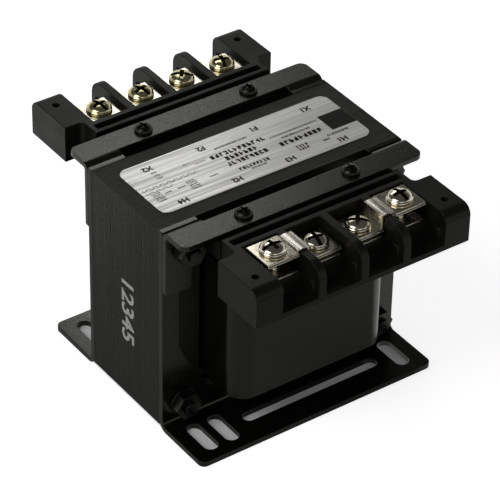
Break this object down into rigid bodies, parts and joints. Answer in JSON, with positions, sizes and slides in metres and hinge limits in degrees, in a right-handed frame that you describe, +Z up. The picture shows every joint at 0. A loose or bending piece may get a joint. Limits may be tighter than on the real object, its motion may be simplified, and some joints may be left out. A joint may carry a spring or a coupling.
{
  "type": "control transformer",
  "caption": "Open core-and-coil control transformer with slotted feet, a screw terminal block on each long side and plated links across the primary terminals.",
  "frame": {"origin": "on the ground plane, at the centre of the lamination stack", "axes": "+Z up out of the label's face, +X along the terminal blocks, -Y towards the primary block"},
  "size_m": [0.0858, 0.1178, 0.0764],
  "materials": {
    "core_paint": "satin black varnish over stacked laminations",
    "bracket_paint": "satin black paint on folded steel",
    "former_moulding": "glass-filled nylon",
    "magnet_wire": "enamelled copper wire, varnished",
    "insulation_paper": "insulating paper",
    "coil_wrap": "smooth dark grey wrap",
    "black_hardware": "black oxide on steel",
    "block_moulding": "dark grey phenolic, fine grain",
    "tinned_strip": "bright tin plating",
    "clamp_plating": "nickel plating, slightly yellow",
    "screw_plating": "bright zinc plating, slightly yellow",
    "link_metal": "bright plated brass strap",
    "tinned_lead": "tinned copper",
    "label_film": "white film, satin"
  },
  "bodies": {
    "root": {"e_laminations": "core_paint", "i_laminations": "core_paint", "coil_former": "former_moulding", "secondary_winding": "magnet_wire", "winding_insulation": "insulation_paper", "primary_winding": "magnet_wire", "coil_wrap": "coil_wrap", "front_foot_bracket": "bracket_paint", "rear_foot_bracket": "bracket_paint", "front_terminal_bracket": "bracket_paint", "rear_terminal_bracket": "bracket_paint", "core_bolts": "black_hardware", "core_washers": "black_hardware", "core_nuts": "black_hardware", "front_terminal_block": "block_moulding", "rear_terminal_block": "block_moulding", "block_screws": "black_hardware", "front_terminal_strips": "tinned_strip", "rear_terminal_strips": "tinned_strip", "front_lead_outs": "tinned_lead", "rear_lead_outs": "tinned_lead", "h4_h2_link": "link_metal", "h1_h3_link": "link_metal", "rating_label": "label_film"},
    "h4_clamp": {"h4_clamp": "clamp_plating"},
    "h4_screw": {"h4_screw": "screw_plating"},
    "h2_clamp": {"h2_clamp": "clamp_plating"},
    "h2_screw": {"h2_screw": "screw_plating"},
    "h3_clamp": {"h3_clamp": "clamp_plating"},
    "h3_screw": {"h3_screw": "screw_plating"},
    "h1_clamp": {"h1_clamp": "clamp_plating"},
    "h1_screw": {"h1_screw": "screw_plating"},
    "x1_clamp": {"x1_clamp": "clamp_plating"},
    "x1_screw": {"x1_screw": "screw_plating"},
    "f1_clamp": {"f1_clamp": "clamp_plating"},
    "f1_screw": {"f1_screw": "screw_plating"},
    "f2_clamp": {"f2_clamp": "clamp_plating"},
    "f2_screw": {"f2_screw": "screw_plating"},
    "x2_clamp": {"x2_clamp": "clamp_plating"},
    "x2_screw": {"x2_screw": "screw_plating"}
  },
  "joints": [
    {"name": "h4_clamp_lift", "type": "slide", "parent": "root", "child": "h4_clamp", "axis": [0, 0, 1], "range_m": [0, 0.00119]},
    {"name": "h4_screw_turn", "type": "hinge", "parent": "h4_clamp", "child": "h4_screw", "pos_m": [-0.0225, -0.0448, 0.072], "axis": [0, 0, 1], "range_deg": [0, 541]},
    {"name": "h2_clamp_lift", "type": "slide", "parent": "root", "child": "h2_clamp", "axis": [0, 0, 1], "range_m": [0, 0.00298]},
    {"name": "h2_screw_turn", "type": "hinge", "parent": "h2_clamp", "child": "h2_screw", "pos_m": [-0.0075, -0.0448, 0.072], "axis": [0, 0, 1], "range_deg": [0, 1351]},
    {"name": "h3_clamp_lift", "type": "slide", "parent": "root", "child": "h3_clamp", "axis": [0, 0, 1], "range_m": [0, 0.00298]},
    {"name": "h3_screw_turn", "type": "hinge", "parent": "h3_clamp", "child": "h3_screw", "pos_m": [0.0075, -0.0448, 0.072], "axis": [0, 0, 1], "range_deg": [0, 1351]},
    {"name": "h1_clamp_lift", "type": "slide", "parent": "root", "child": "h1_clamp", "axis": [0, 0, 1], "range_m": [0, 0.00119]},
    {"name": "h1_screw_turn", "type": "hinge", "parent": "h1_clamp", "child": "h1_screw", "pos_m": [0.0225, -0.0448, 0.072], "axis": [0, 0, 1], "range_deg": [0, 541]},
    {"name": "x1_clamp_lift", "type": "slide", "parent": "root", "child": "x1_clamp", "axis": [0, 0, 1], "range_m": [-0.00198, 0.00159]},
    {"name": "x1_screw_turn", "type": "hinge", "parent": "x1_clamp", "child": "x1_screw", "pos_m": [0.0225, 0.0448, 0.072], "axis": [0, 0, 1], "range_deg": [-901, 721]},
    {"name": "f1_clamp_lift", "type": "slide", "parent": "root", "child": "f1_clamp", "axis": [0, 0, 1], "range_m": [-0.00198, 0.00159]},
    {"name": "f1_screw_turn", "type": "hinge", "parent": "f1_clamp", "child": "f1_screw", "pos_m": [0.0075, 0.0448, 0.072], "axis": [0, 0, 1], "range_deg": [-901, 721]},
    {"name": "f2_clamp_lift", "type": "slide", "parent": "root", "child": "f2_clamp", "axis": [0, 0, 1], "range_m": [-0.00198, 0.00159]},
    {"name": "f2_screw_turn", "type": "hinge", "parent": "f2_clamp", "child": "f2_screw", "pos_m": [-0.0075, 0.0448, 0.072], "axis": [0, 0, 1], "range_deg": [-901, 721]},
    {"name": "x2_clamp_lift", "type": "slide", "parent": "root", "child": "x2_clamp", "axis": [0, 0, 1], "range_m": [-0.00198, 0.00159]},
    {"name": "x2_screw_turn", "type": "hinge", "parent": "x2_clamp", "child": "x2_screw", "pos_m": [-0.0225, 0.0448, 0.072], "axis": [0, 0, 1], "range_deg": [-901, 721]}
  ],
  "couplings": [
    {"joint": "h4_screw_turn", "follows": "h4_clamp_lift", "rad_per_m": 7915.8},
    {"joint": "h2_screw_turn", "follows": "h2_clamp_lift", "rad_per_m": 7915.8},
    {"joint": "h3_screw_turn", "follows": "h3_clamp_lift", "rad_per_m": 7915.8},
    {"joint": "h1_screw_turn", "follows": "h1_clamp_lift", "rad_per_m": 7915.8},
    {"joint": "x1_screw_turn", "follows": "x1_clamp_lift", "rad_per_m": 7915.8},
    {"joint": "f1_screw_turn", "follows": "f1_clamp_lift", "rad_per_m": 7915.8},
    {"joint": "f2_screw_turn", "follows": "f2_clamp_lift", "rad_per_m": 7915.8},
    {"joint": "x2_screw_turn", "follows": "x2_clamp_lift", "rad_per_m": 7915.8}
  ]
}
